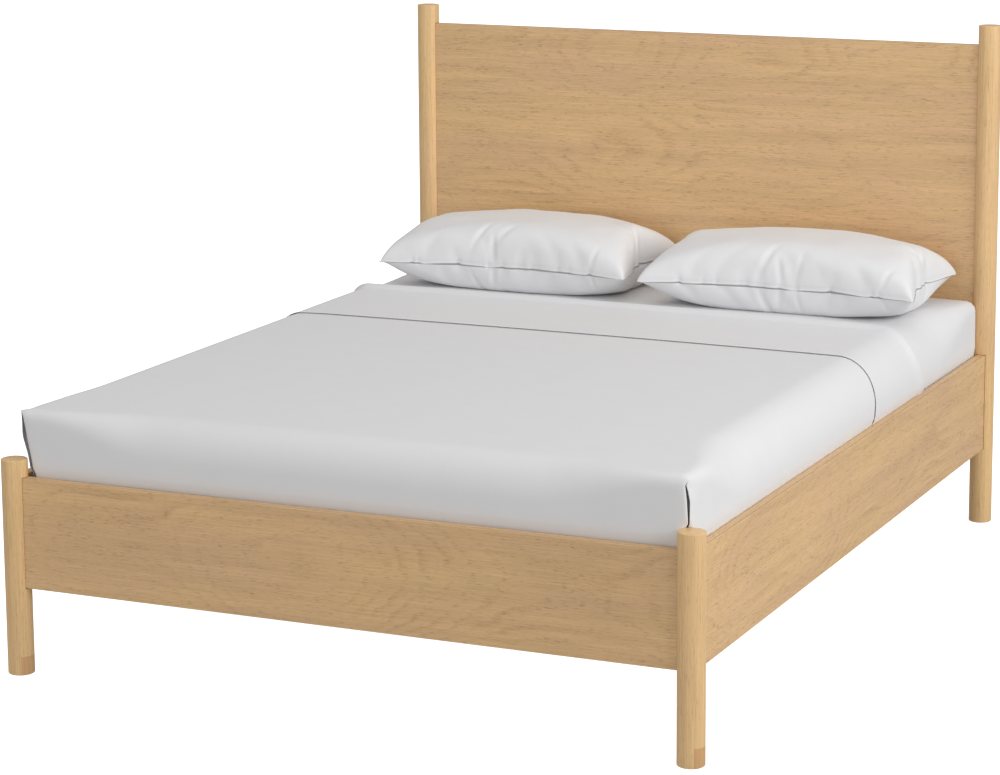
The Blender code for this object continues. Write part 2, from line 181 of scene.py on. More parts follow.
def makeStudio():
    # Matt white backdrop paper, lit so evenly that it shows plain white
    material, _, shader = newMaterial("matt_backdrop_paper")
    setInputs(shader, {
        "Base Color": toLinear(studio["floorColour"]), "Roughness": 0.95, "Specular IOR Level": 0.1,
        "Emission Color": toLinear("#ffffff"), "Emission Strength": studio["floorGlow"],
    })
    reach = studio["floorReach"]
    corners = [(-reach, -reach, 0), (reach, -reach, 0), (reach, reach, 0), (-reach, reach, 0)]
    floor = meshObject("studio_floor", corners, [(0, 1, 2, 3)], material)
    # The paper shows white all over, and the world's even light stands in for its bounce
    floor.visible_diffuse = False
    floor.visible_glossy = False
    world = bpy.data.worlds.new("studio")
    world.use_nodes = True
    sky = world.node_tree.nodes["Background"]
    setInputs(sky, {"Color": (1, 1, 1, 1), "Strength": studio["worldStrength"]})
    scene.world = world
    aim = Vector(studio["aim"])
    for name, lamp in studio["lamps"].items():
        data = bpy.data.lights.new(name, "AREA")
        data.shape = "RECTANGLE"
        data.size, data.size_y = lamp["size"]
        data.energy = lamp["power"]
        made = bpy.data.objects.new(name, data)
        made.location = lamp["at"]
        made.rotation_euler = (aim - Vector(lamp["at"])).to_track_quat("-Z", "Y").to_euler()
        scene.collection.objects.link(made)


# wood

# Natural oak veneer, flat cut and sanded under matt lacquer: pale arches, grey-pink pores, soft gloss
oakVeneer = {
    "axes": ("X", "Z", "Y"),  # along the grain, across the leaf and into the board
    "leaf": 0.27, "leafStart": 0.80, "leafJump": 7.31, "seed": 3.0,  # leaves side by side, each its own
    "pith": 0.018, "pithSwing": 0.040, "swingEvery": 0.80, "wander": 0.05, "taper": 0.0,
    "ring": 0.0030, "ripple": 0.0034, "ringAmount": 0.60,
    "ringTone": [(0.0, 0.5), (0.10, 1.0), (0.45, 0.15), (0.92, 0.0), (1.0, 0.5)],
    "light": "#e3bc87", "dark": "#d0a875", "tint": "#d9b08b", "tintAmount": 0.40,
    "pore": "#976e5d", "poreSize": (0.019, 0.0019), "poreOpen": (0.52, 0.70), "poreAmount": 0.68,
    "latePores": 0.35, "poreDepth": 0.0003, "streak": 0.20, "band": 0.12, "roughness": (0.42, 0.62),
    # How many patterns to the metre, along the grain, across it and into the board
    "cells": {"ripple": (6, 45, 45), "fibre": (7, 420, 420), "tint": (2.6, 11, 11), "arch": (3.4, 8, 8),
              "band": (1.6, 38, 38)},
    "boardCentre": 0.0, "coreLine": 0.0086, "coreLineWidth": (0.0007, 0.0020), "coreLineShade": 0.66,
    "plug": None,
}


def woodMaterial(name, wood, centre=(0, 0, 0)):
    # Growth rings as the surface cuts them: the distance from a pith line that wanders under the face
    material, add, shader = newMaterial(name)
    place = add("TexCoord", out="Object")
    local = add("VectorMath", {0: place, 1: centre}, operation="SUBTRACT")
    split = add("SeparateXYZ", {0: local}).node.outputs
    along, across, depth = (split[axis] for axis in wood["axes"])
    shifted = add("Math", {0: across, 1: wood["leafStart"]}, operation="SUBTRACT")
    leaves = add("Math", {0: shifted, 1: wood["leaf"]}, operation="DIVIDE")
    leaf = add("Math", {0: leaves}, operation="FLOOR")
    part = add("Math", {0: leaves, 1: leaf}, operation="SUBTRACT")
    middle = add("Math", {0: part, 1: 0.5}, operation="SUBTRACT")
    inLeaf = add("Math", {0: middle, 1: wood["leaf"]}, operation="MULTIPLY")
    own = add("Math", {0: leaf, 1: wood["leafJump"], 2: wood["seed"]}, operation="MULTIPLY_ADD")
    slid = add("Math", {0: own, 1: along}, operation="ADD")

    everyFew = add("Math", {0: slid, 1: wood["swingEvery"]}, operation="DIVIDE")
    swing = add("TexNoise", {"W": everyFew, "Scale": 1.0, "Detail": 1.0}, noise_dimensions="1D")
    later = add("Math", {0: everyFew, 1: 31.7}, operation="ADD")
    sway = add("TexNoise", {"W": later, "Scale": 0.8, "Detail": 1.0}, noise_dimensions="1D")
    swayed = add("Math", {0: sway, 1: wood["wander"], 2: inLeaf}, operation="MULTIPLY_ADD")
    offLine = add("Math", {0: swayed, 1: wood["wander"] / 2}, operation="SUBTRACT")
    pithDown = add("Math", {0: swing, 1: wood["pithSwing"], 2: wood["pith"]}, operation="MULTIPLY_ADD")
    tapered = add("Math", {0: along, 1: wood["taper"], 2: pithDown}, operation="MULTIPLY_ADD")
    below = add("Math", {0: tapered, 1: depth}, operation="ADD")
    toPith = add("CombineXYZ", {0: offLine, 1: below})
    radius = add("VectorMath", {0: toPith}, operation="LENGTH", out="Value")
    grainPlace = add("CombineXYZ", {0: slid, 1: across, 2: depth})

    def noiseInGrain(cells, detail, scale=1.0, roughness=0.5):
        stretched = add("VectorMath", {0: grainPlace, 1: cells}, operation="MULTIPLY")
        fine = {"Scale": scale, "Detail": detail, "Roughness": roughness}
        return add("TexNoise", {"Vector": stretched, **fine})

    def between(value, low, high, toLow=0.0, toHigh=1.0, ease="SMOOTHSTEP"):
        ends = {"From Min": low, "From Max": high, "To Min": toLow, "To Max": toHigh}
        return add("MapRange", {"Value": value, **ends}, interpolation_type=ease)

    cells = wood["cells"]
    ripple = noiseInGrain(cells["ripple"], 2.0)
    rippled = add("Math", {0: ripple, 1: wood["ripple"], 2: radius}, operation="MULTIPLY_ADD")
    rings = add("Math", {0: rippled, 1: wood["ring"]}, operation="DIVIDE")
    phase = add("Math", {0: rings}, operation="FRACT")
    stops = [(at, (tone, tone, tone, 1)) for at, tone in wood["ringTone"]]
    early = add("ValToRGB", {0: phase}, stops=stops)

    # Pores: open vessels as short dashes along the grain, drawn a little wider than real so that they show
    length, width = wood["poreSize"]
    dashes = noiseInGrain((1 / length, 1 / width, 1 / width), 2.5, roughness=0.6)
    opened = between(dashes, *wood["poreOpen"])
    where = between(early, 0.0, 1.0, wood["latePores"], 1.0, "LINEAR")
    pores = add("Math", {0: opened, 1: where}, operation="MULTIPLY")
    # Long fine streaks of fibre, a little lighter and darker, and slow bands along the board
    fibre = noiseInGrain(cells["fibre"], 3.0)
    streak = between(fibre, 0.3, 0.7, 1 - wood["streak"] / 2, 1 + wood["streak"] / 2, "LINEAR")
    bandNoise = noiseInGrain(cells["band"], 2.0)
    band = between(bandNoise, 0.3, 0.7, 1 - wood["band"] / 2, 1 + wood["band"] / 2, "LINEAR")
    shade = add("Math", {0: streak, 1: band}, operation="MULTIPLY")

    # The arches show strongly only here and there, over patches of a pinker tone
    arches = between(noiseInGrain(cells["arch"], 1.0, 1.3), 0.46, 0.70, 0.10)
    patched = between(noiseInGrain(cells["tint"], 2.0), 0.35, 0.68)
    shown = add("Math", {0: early, 1: arches}, operation="MULTIPLY")
    coloured = toLinear(wood["light"])
    layers = (("dark", shown, "ringAmount"), ("tint", patched, "tintAmount"), ("pore", pores, "poreAmount"))
    for tone, mask, amount in layers:
        share = add("Math", {0: mask, 1: wood[amount]}, operation="MULTIPLY")
        coloured = add("Mix", {0: share, 6: coloured, 7: toLinear(wood[tone])}, data_type="RGBA", out=2)
    if wood["coreLine"]:
        # The face veneer shows on the board's edges as a hair line just in from each face
        outside = add("Math", {0: depth}, operation="ABSOLUTE")
        fromCentre = add("Math", {0: outside, 1: wood["boardCentre"]}, operation="SUBTRACT")
        eitherWay = add("Math", {0: fromCentre}, operation="ABSOLUTE")
        fromLine = add("Math", {0: eitherWay, 1: wood["coreLine"]}, operation="SUBTRACT")
        lineGap = add("Math", {0: fromLine}, operation="ABSOLUTE")
        lineShade = between(lineGap, *wood["coreLineWidth"], wood["coreLineShade"], 1.0, "LINEAR")
        shade = add("Math", {0: shade, 1: lineShade}, operation="MULTIPLY")
    if wood["plug"]:
        # A short let-in piece at the foot of the post, from a slightly redder board
        plugTop, plugSide, plugTone, plugAmount = wood["plug"]
        low = add("Math", {0: along, 1: plugTop}, operation="LESS_THAN")
        beside = add("Math", {0: across, 1: plugSide}, operation="GREATER_THAN")
        inPlug = add("Math", {0: low, 1: beside}, operation="MULTIPLY")
        share = add("Math", {0: inPlug, 1: plugAmount}, operation="MULTIPLY")
        coloured = add("Mix", {0: share, 6: coloured, 7: toLinear(plugTone)}, data_type="RGBA", out=2)
    sunk = {"Strength": 0.35, "Distance": wood["poreDepth"], "Height": pores}
    setInputs(shader, {
        "Base Color": add("VectorMath", {0: coloured, "Scale": shade}, operation="SCALE"),
        "Roughness": between(pores, 0.0, 1.0, *wood["roughness"], "LINEAR"),
        "Normal": add("Bump", sunk, invert=True),
        "IOR": 1.5,
    })
    return material


# Pine for the hidden base, planed and left bare: yellow-white with a narrow brown late wood, matt
planedPine = dict(
    oakVeneer, light="#e2c79c", dark="#c79a63", tint="#dcb988", pore="#b48a56", poreAmount=0.12,
    ringAmount=0.8, ring=0.005, pith=0.02, coreLine=None,
)


def finishWood():
    footLow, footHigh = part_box("foot_rail")
    sideLow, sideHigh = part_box("side_rail_right")
    endCentre = abs(footLow.y + footHigh.y) / 2
    sideCentre = (sideLow.x + sideHigh.x) / 2
    rails = dict(oakVeneer, leafStart=0.19, leaf=0.30)
    panel = woodMaterial("natural_oak_veneer_lacquered", dict(oakVeneer, boardCentre=endCentre))
    rail = woodMaterial("natural_oak_veneer_foot_rail", dict(rails, seed=11.0, boardCentre=endCentre))
    sides = woodMaterial(
        "natural_oak_veneer_side_rails",
        dict(rails, axes=("Y", "Z", "X"), seed=23.0, boardCentre=sideCentre),
    )
    acrossBed = woodMaterial(
        "planed_pine_slats", dict(planedPine, axes=("X", "Y", "Z"), leaf=0.151, leafStart=-1.055, seed=5.0),
    )
    alongBed = woodMaterial(
        "planed_pine_beam_and_ledgers",
        dict(planedPine, axes=("Y", "X", "Z"), leaf=0.3, leafStart=-0.93, seed=8.0),
    )
    upright = woodMaterial(
        "planed_pine_legs", dict(planedPine, axes=("Z", "X", "Y"), leaf=0.3, leafStart=-0.15, seed=2.0),
    )
    wears = {
        "headboard_panel": panel, "foot_rail": rail, "side_rail_left": sides, "side_rail_right": sides,
        "slat_ledger_left": alongBed, "slat_ledger_right": alongBed, "centre_beam": alongBed,
        "centre_leg_foot": upright, "centre_leg_head": upright,
    }
    for name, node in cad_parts.items():
        if name.startswith("slat_") and name[5:].isdigit():
            node.data.materials[0] = acrossBed
        elif name in wears:
            node.data.materials[0] = wears[name]


posts = {
    "segments": 96, "edgeRound": 0.0025, "roundSteps": 5, "heightSteps": 12, "jointLine": 0.0011,
    "sharpAngle": 40,
    "seeds": {"foot_left": 21.0, "foot_right": 22.0, "head_left": 14.0, "head_right": 15.0},
    "plug": (0.046, 0.016, "#cf9f6e", 0.75),
}
# Solid oak turned on a lathe: lighter than the veneer, fine straight grain that runs up the post
turnedOak = dict(
    oakVeneer, axes=("Z", "X", "Y"), leaf=0.036, leafStart=-0.046, pith=0.09, taper=0.02, pithSwing=0.02,
    wander=0.02, ring=0.0035, poreSize=(0.022, 0.0016), light="#ecc58c", dark="#dab17a", tint="#e3b88d",
    poreAmount=0.45, coreLine=None,
)


def cutHousing(post, rail):
    # The rail's square end goes into the post, with a hairline of shadow all round
    room = Vector((posts["jointLine"],) * 3)
    low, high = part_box(rail)
    low, high = low - room, high + room
    corners = [(x, y, z) for x in (low.x, high.x) for y in (low.y, high.y) for z in (low.z, high.z)]
    sides = [(0, 1, 3, 2), (4, 6, 7, 5), (0, 4, 5, 1), (2, 3, 7, 6), (0, 2, 6, 4), (1, 5, 7, 3)]
    cutter = meshObject("housing_cutter", corners, sides, post.data.materials[0])
    cut = post.modifiers.new("housing", "BOOLEAN")
    cut.operation = "DIFFERENCE"
    cut.solver = "EXACT"
    cut.object = cutter
    settled(post)
    bpy.data.objects.remove(cutter)


def ringFaces(rings, count):
    # Faces of a closed form made of stacked rings of points, with a cap on each end
    faces = []
    for i in range(rings - 1):
        for k in range(count):
            after = (k + 1) % count
            faces.append((i * count + k, i * count + after, (i + 1) * count + after, (i + 1) * count + k))
    faces.append(tuple(range(count - 1, -1, -1)))
    faces.append(tuple((rings - 1) * count + k for k in range(count)))
    return faces


def makePost(end, side):
    node = f"post_{end}_{side}"
    low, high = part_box(node)
    centre = (low + high) / 2
    radius = (high.x - low.x) / 2
    plug = posts["plug"] if end == "foot" else None
    oak = woodMaterial(
        f"turned_oak_lacquered_{end}_{side}",
        dict(turnedOak, seed=posts["seeds"][f"{end}_{side}"], plug=plug),
        (centre.x, centre.y, 0),
    )
    turns = [math.pi / 2 * i / posts["roundSteps"] for i in range(posts["roundSteps"] + 1)]
    edge, steps, count = posts["edgeRound"], posts["heightSteps"], posts["segments"]
    lower = [(radius - edge * (1 - math.sin(a)), low.z + edge * (1 - math.cos(a))) for a in turns]
    upper = [(radius - edge * (1 - math.cos(a)), high.z - edge * (1 - math.sin(a))) for a in turns]
    rise = [(radius, low.z + (high.z - low.z) * i / steps) for i in range(1, steps)]
    profile = [*lower, *rise, *upper]
    around = [(math.cos(math.tau * k / count), math.sin(math.tau * k / count)) for k in range(count)]
    points = [(centre.x + r * c, centre.y + r * s, z) for r, z in profile for c, s in around]
    post = meshObject(f"{node}_turned", points, ringFaces(len(profile), count), oak)
    cutHousing(post, "foot_rail" if end == "foot" else "headboard_panel")
    cutHousing(post, f"side_rail_{side}")
    post.data.set_sharp_from_angle(angle=math.radians(posts["sharpAngle"]))
    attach(post, "bed_frame")
    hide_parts(node)


def makePosts():
    for end in ("foot", "head"):
        for side in ("left", "right"):
            makePost(end, side)


# sheets

cottonCloth = {
    "colour": "#e9e9ea", "cloudTone": (0.965, 0.965, 0.97), "clouds": 14.0, "thread": 0.0009,
    "weaveDepth": 0.00006, "weaveStrength": 0.35, "slub": 900.0, "slubAmount": 1.2, "roughness": 0.85,
    "sheen": 0.12, "sheenRoughness": 0.4, "seamShadeBand": (0.0003, 0.0013), "seamPaintedShade": 0.42,
}


def cottonMaterial(name, cloth, case=None):
    # Pressed percale: a fine even plain weave, drawn about three times coarser than real so that it shows
    material, add, shader = newMaterial(name)
    place = add("UVMap", uv_map="cloth")
    split = add("SeparateXYZ", {0: place}).node.outputs
    waves = []
    for axis in (0, 1):
        turns = add("Math", {0: split[axis], 1: math.pi / cloth["thread"]}, operation="MULTIPLY")
        waves.append(add("Math", {0: turns}, operation="SINE"))
    weave = add("Math", {0: waves[0], 1: waves[1]}, operation="MULTIPLY")
    slub = add("TexNoise", {"Vector": place, "Scale": cloth["slub"], "Detail": 2.0})
    height = add("Math", {0: slub, 1: cloth["slubAmount"], 2: weave}, operation="MULTIPLY_ADD")
    raised = {"Strength": cloth["weaveStrength"], "Distance": cloth["weaveDepth"], "Height": height}
    clouds = add("TexNoise", {"Vector": place, "Scale": cloth["clouds"], "Detail": 3.0})
    base = toLinear(cloth["colour"])
    darker = (*(channel * share for channel, share in zip(base, cloth["cloudTone"])), 1)
    tone = add("Mix", {0: clouds, 6: base, 7: darker}, data_type="RGBA", out=2)
    if case:
        # Painted shade at the seam: a hair of darker colour just inside the edge of the case, where the
        # seam's groove lies in shade
        fromEdge = []
        for axis, size in enumerate(case):
            off = add("Math", {0: split[axis]}, operation="ABSOLUTE")
            fromEdge.append(add("Math", {0: size / 2, 1: off}, operation="SUBTRACT"))
        inwards = add("Math", {0: fromEdge[0], 1: fromEdge[1]}, operation="MINIMUM")
        start, end = cloth["seamShadeBand"]
        line = {"Value": inwards, "From Min": start, "From Max": end, "To Min": cloth["seamPaintedShade"]}
        seam = add("MapRange", line, interpolation_type="SMOOTHSTEP")
        tone = add("VectorMath", {0: tone, "Scale": seam}, operation="SCALE")
    setInputs(shader, {
        "Base Color": tone, "Normal": add("Bump", raised), "Roughness": cloth["roughness"], "IOR": 1.5,
        "Sheen Weight": cloth["sheen"], "Sheen Roughness": cloth["sheenRoughness"],
    })
    return material


# How the made-up mattress is rounded: the long edges soft in the middle and crisper towards the corners
bedShape = {
    "edge": {"left": 0.045, "right": 0.100, "foot": 0.075, "head": 0.035},
    "drop": {"left": 0.050, "right": 0.115, "foot": 0.085, "head": 0.040},
    "cornerEdge": {"foot": 0.022, "head": 0.028},
    "cornerReach": 0.34,
    "squareness": {"foot": 5.0, "head": 3.6},
    "crown": 0.004,
    "postRoom": 0.0018,
    "railRoom": 0.0012,
}


def wrapBed(p, q, body, lift=0.0):
    # Places cloth on the mattress. p and q are lengths along the cloth from the middle of the bed;
    # past the flat top they run down the sides and then turn in under the mattress.
    shape = bedShape
    signX = np.where(p >= 0, 1.0, -1.0)
    signY = np.where(q >= 0, 1.0, -1.0)
    halfX, halfY, top = body["halfX"] + lift, body["halfY"] + lift, body["top"] + lift
    cornerEdge = np.where(q >= 0, shape["cornerEdge"]["head"], body["footCorner"]) + lift
    square = np.where(q >= 0, shape["squareness"]["head"], body["footSquareness"])
    edgeX = np.where(p >= 0, shape["edge"]["right"], shape["edge"]["left"]) + lift
    dropX = np.where(p >= 0, shape["drop"]["right"], shape["drop"]["left"]) + lift
    edgeY = np.where(q >= 0, shape["edge"]["head"], shape["edge"]["foot"]) + lift
    dropY = np.where(q >= 0, shape["drop"]["head"], shape["drop"]["foot"]) + lift
    nearX = smoothStep(np.abs(q), halfY - shape["cornerReach"], halfY - 0.05)
    nearY = smoothStep(np.abs(p), halfX - shape["cornerReach"], halfX - 0.05)
    edgeX = edgeX + (cornerEdge - edgeX) * nearX
    dropX = dropX + (cornerEdge - dropX) * nearX
    edgeY = edgeY + (cornerEdge - edgeY) * nearY
    dropY = dropY + (cornerEdge - dropY) * nearY
    insideX = np.minimum(np.abs(p), halfX - edgeX)
    insideY = np.minimum(np.abs(q), halfY - edgeY)
    overX = np.abs(p) - insideX
    overY = np.abs(q) - insideY
    over = np.maximum(overX, overY)
    lean = np.where(overX >= overY, overY / np.maximum(overX, 1e-9), 2 - overX / np.maximum(overY, 1e-9))
    lean = np.where(over > 1e-7, lean * math.pi / 4, 0)
    outX = np.where(overX > 0, np.abs(np.cos(lean)) ** (2 / square), 0.0)
    outY = np.where(overY > 0, np.abs(np.sin(lean)) ** (2 / square), 0.0)
    shareY = lean / (math.pi / 2)
    height = top - body["bottom"]

    def profile(edge, drop):
        length = math.pi / 2 * np.sqrt((edge ** 2 + drop ** 2) / 2)
        turn = np.clip(over / length, 0, 1) * math.pi / 2
        fall = drop * (1 - np.cos(turn)) + np.maximum(over - length, 0)
        under = np.maximum(fall - height, 0)
        return edge * np.sin(turn) - under, np.minimum(fall, height)

    reachX, fallX = profile(edgeX, dropX)
    reachY, fallY = profile(edgeY, dropY)
    x = insideX + reachX * outX
    y = insideY + reachY * outY
    fall = fallX * (1 - shareY) + fallY * shareY
    crown = shape["crown"] * (1 - (insideX / halfX) ** 2) * (1 - (insideY / halfY) ** 2)
    z = top + np.where(fall < height - 1e-6, crown, 0) - fall
    tuck = body["tuck"] * smoothStep(-z, -body["tuckFrom"], -body["tuckTo"])
    points = np.stack([signX * (x - tuck * outX), body["centreY"] + signY * (y - tuck * outY), z], -1)
    return points, overX, overY


def keepClear(points):
    # Cloth stays inside the rails and headboard, and is pushed in by the posts
    foot, head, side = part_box("foot_rail"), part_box("headboard_panel"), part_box("side_rail_right")
    postLow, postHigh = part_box("post_foot_right")
    radius = (postHigh.x - postLow.x) / 2 + bedShape["postRoom"]
    room = bedShape["railRoom"]
    x, y, z = points[..., 0], points[..., 1], points[..., 2]
    besideRail = z < side[1].z + 0.001
    x[besideRail] = np.clip(x[besideRail], -side[0].x + room, side[0].x - room)
    y[besideRail] = np.maximum(y[besideRail], foot[1].y + room)
    y[:] = np.minimum(y, head[0].y - room)
    for name in ("foot_left", "foot_right", "head_left", "head_right"):
        low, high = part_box(f"post_{name}")
        awayX = x - (low.x + high.x) / 2
        awayY = y - (low.y + high.y) / 2
        distance = np.hypot(awayX, awayY)
        near = (distance < radius) & (distance >= 0.004) & (z < high.z + 0.004)
        push = np.where(near, radius / np.maximum(distance, 1e-6), 1.0) - 1
        x += awayX * push
        y += awayY * push


def gridFaces(rows, columns):
    i, j = np.meshgrid(np.arange(rows - 1), np.arange(columns - 1), indexing="ij")
    a = (i * columns + j).ravel()
    return np.stack([a, a + 1, a + columns + 1, a + columns], -1)


def stepsFrom(start, stop, spacing):
    return np.linspace(start, stop, max(2, round(abs(stop - start) / spacing) + 1))


def thicken(sheet, thickness):
    solid = sheet.modifiers.new("thickness", "SOLIDIFY")
    solid.thickness = thickness
    solid.offset = -1
    settled(sheet)


fittedSheet = {
    "aboveRail": 0.7812, "headReach": 1.0315, "tuck": 0.0035, "spacing": 0.012, "hem": 0.045,
    "footCorner": 0.060, "footSquareness": 2.2, "thickness": 0.0007, "flat": (2.30, 2.80),
    "gatherWidth": 0.12, "puckers": 190, "puckerDepth": 0.0022, "slack": 0.0012,
}


def makeFittedSheet(cotton):
    low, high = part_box("fitted_sheet")
    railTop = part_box("side_rail_right")[1].z
    centreY = (low.y + high.y) / 2
    body = {
        "halfX": fittedSheet["aboveRail"], "halfY": fittedSheet["headReach"] - centreY,
        "top": high.z + 0.0005, "centreY": centreY, "bottom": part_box("mattress")[0].z - 0.0008,
        "tuck": fittedSheet["tuck"], "tuckFrom": railTop + 0.018, "tuckTo": railTop - 0.004,
        "footCorner": fittedSheet["footCorner"], "footSquareness": fittedSheet["footSquareness"],
    }
    hang = body["top"] - body["bottom"] + fittedSheet["hem"]
    spacing = fittedSheet["spacing"]
    p = stepsFrom(-body["halfX"] - hang, body["halfX"] + hang, spacing)
    q = stepsFrom(-body["halfY"] - hang, body["halfY"] + hang, spacing)
    across, along = np.meshgrid(p, q)
    points, overX, overY = wrapBed(across, along, body)
    # The elastic hem gathers the corners into short upright puckers
    gather = np.clip(np.minimum(overX, overY) / fittedSheet["gatherWidth"], 0, 1)
    puckers = np.sin((overX - overY) * fittedSheet["puckers"]) * fittedSheet["puckerDepth"] * gather
    points[..., 0] += np.sign(across) * puckers * np.where(overX > 0, 1, 0)
    slack = softNoise(across * 9 + 3, along * 3, 41) * fittedSheet["slack"]
    points[..., 2] += slack * np.where(np.maximum(overX, overY) < 0.02, 1, 0)
    keepClear(points)
    sheet = meshObject(
        "fitted_sheet_cotton", points.reshape(-1, 3), gridFaces(len(q), len(p)), cotton,
        np.stack([across.ravel(), along.ravel()], -1),
    )
    thicken(sheet, fittedSheet["thickness"])
    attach(sheet, "mattress_set")
    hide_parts("fitted_sheet")


flatSheet = {
    "halfX": 0.7868, "footReach": 1.0388, "tuck": 0.0050, "spacing": 0.011, "hem": 0.080,
    "thickness": 0.0008, "flat": (2.29, 2.59), "foldRadius": 0.0056, "hemGap": 0.0028,
    # Where the turned-back fold and its hem run: cloth length across from the middle, place along the bed
    "foldLine": [
        (-1.10, 0.560), (-0.78, 0.564), (-0.60, 0.564), (0.42, 0.541), (0.68, 0.534), (0.75, 0.500),
        (0.80, 0.484), (0.85, 0.498), (0.90, 0.516), (1.10, 0.530),
    ],
    "hemLine": [
        (-1.10, 0.100), (-0.84, 0.130), (-0.76, 0.172), (-0.70, 0.184), (0.69, 0.184), (0.78, 0.176),
        (0.86, 0.156), (0.90, 0.147), (1.10, 0.140),
    ],
    "steadyTo": -0.20, "ridge": (0.0105, 2.6), "restGap": 0.0014,
    "partBelow": 0.586, "earWidth": 0.014, "earFrom": (0.560, 0.592), "earLean": 0.35,
    # At each height: how far the front flap's edge has slid in, and the side flap's in and back
    "corners": {
        "right": {"reach": 0.030, "ear": 0.0015, "parting": [
            (0.400, 0.0010, 0.0, 0.0010), (0.460, 0.0012, 0.0, 0.0012), (0.500, 0.0030, 0.0, 0.0020),
            (0.545, 0.0055, 0.0, 0.0035), (0.566, 0.0080, 0.0040, 0.0020), (0.580, 0.0100, 0.0085, 0.0),
            (0.590, 0.0, 0.0, 0.0),
        ]},
        "left": {"reach": 0.055, "ear": 0.013, "parting": [
            (0.400, 0.0340, 0.0230, 0.0060), (0.455, 0.0300, 0.0190, 0.0060),
            (0.495, 0.0235, 0.0120, 0.0060), (0.538, 0.0145, 0.0, 0.0050), (0.560, 0.0110, 0.0005, 0.0040),
            (0.577, 0.0080, 0.0035, 0.0020), (0.590, 0.0040, 0.0, 0.0),
        ]},
    },
}


def smoothLine(knots, at):
    # A smooth curve through (place, value) knots
    places, values = np.array(knots).T
    fine = np.linspace(places[0], places[-1], 400)
    rough = np.interp(fine, places, values)
    kernel = np.hanning(25)
    padded = np.pad(rough, 12, mode="edge")
    return np.interp(at, fine, np.convolve(padded, kernel / kernel.sum(), mode="valid"))


def openCorners(points, uvs, count, body):
    # The foot corners aren't sewn: below the rounding, the front and side flaps part along the diagonal
    rows, columns = points.shape[:2]
    points = points.reshape(-1, 3)
    faces = [list(face) for face in gridFaces(rows, columns)]
    extra, extraUvs = [], []
    for right in (False, True):
        diagonal = []
        for k in range(count):
            row = count - 1 - k
            column = columns - count + k if right else count - 1 - k
            diagonal.append(row * columns + column)
        parted = [i for i in diagonal if points[i, 2] < flatSheet["partBelow"]]
        copies = {i: len(points) + len(extra) + n for n, i in enumerate(parted)}
        extra.extend(points[i] for i in parted)
        extraUvs.extend(uvs[i] for i in parted)
        onDiagonal = set(diagonal)
        new = []
        for face in faces:
            shared = [i for i in face if i in onDiagonal]
            if not shared:
                new.append(face)
                continue
            pieces = [face]
            if len(shared) == 2 and len(face) == 4:
                a = face.index(shared[0])
                if face[(a + 2) % 4] == shared[1]:
                    turned = face[a:] + face[:a]
                    pieces = [turned[:3], [turned[0], turned[2], turned[3]]]
            for piece in pieces:
                rowOf = np.mean([i // columns for i in piece])
                columnOf = np.mean([i % columns for i in piece])
                fromFoot = count - 1 - rowOf
                fromSide = columnOf - (columns - count) if right else count - 1 - columnOf
                new.append([copies.get(i, i) for i in piece] if fromFoot > fromSide else piece)
        faces = new
    total = np.concatenate([points, np.array(extra)])
    row, column = np.divmod(np.arange(len(points)), columns)
    fromFoot = count - 1 - row
    for right in (False, True):
        shape = flatSheet["corners"]["right" if right else "left"]
        sign = 1 if right else -1
        fromSide = column - (columns - count) if right else count - 1 - column
        front = np.concatenate([(fromFoot > fromSide) & (fromFoot >= 0), np.ones(len(extra), bool)])
        side = np.concatenate([(fromFoot <= fromSide) & (fromSide >= 0), np.zeros(len(extra), bool)])
        footY = body["centreY"] - body["halfY"]
        fromCorner = np.hypot(sign * total[:, 0] - body["halfX"], total[:, 1] - footY)
        fade = np.exp(-((fromCorner / shape["reach"]) ** 2))
        near = (sign * total[:, 0] > 0) & (total[:, 1] < 0) & (total[:, 2] < flatSheet["partBelow"] + 0.001)
        heights, frontIn, sideIn, sideBack = np.array(shape["parting"]).T
        for flap, amount in ((front, frontIn), (side, sideIn)):
            moved = np.interp(total[:, 2], heights, amount) * fade
            total[:, 0] -= sign * moved * (flap & near)
        total[:, 1] += np.interp(total[:, 2], heights, sideBack) * fade * (side & near)
        ear = np.exp(-((fromCorner / flatSheet["earWidth"]) ** 2))
        ear *= smoothStep(total[:, 2], *flatSheet["earFrom"])
        total[:, 2] += shape["ear"] * ear
        total[:, 0] += sign * shape["ear"] * flatSheet["earLean"] * ear * (sign * total[:, 0] > 0)
    return total, faces, np.concatenate([uvs, np.array(extraUvs)])


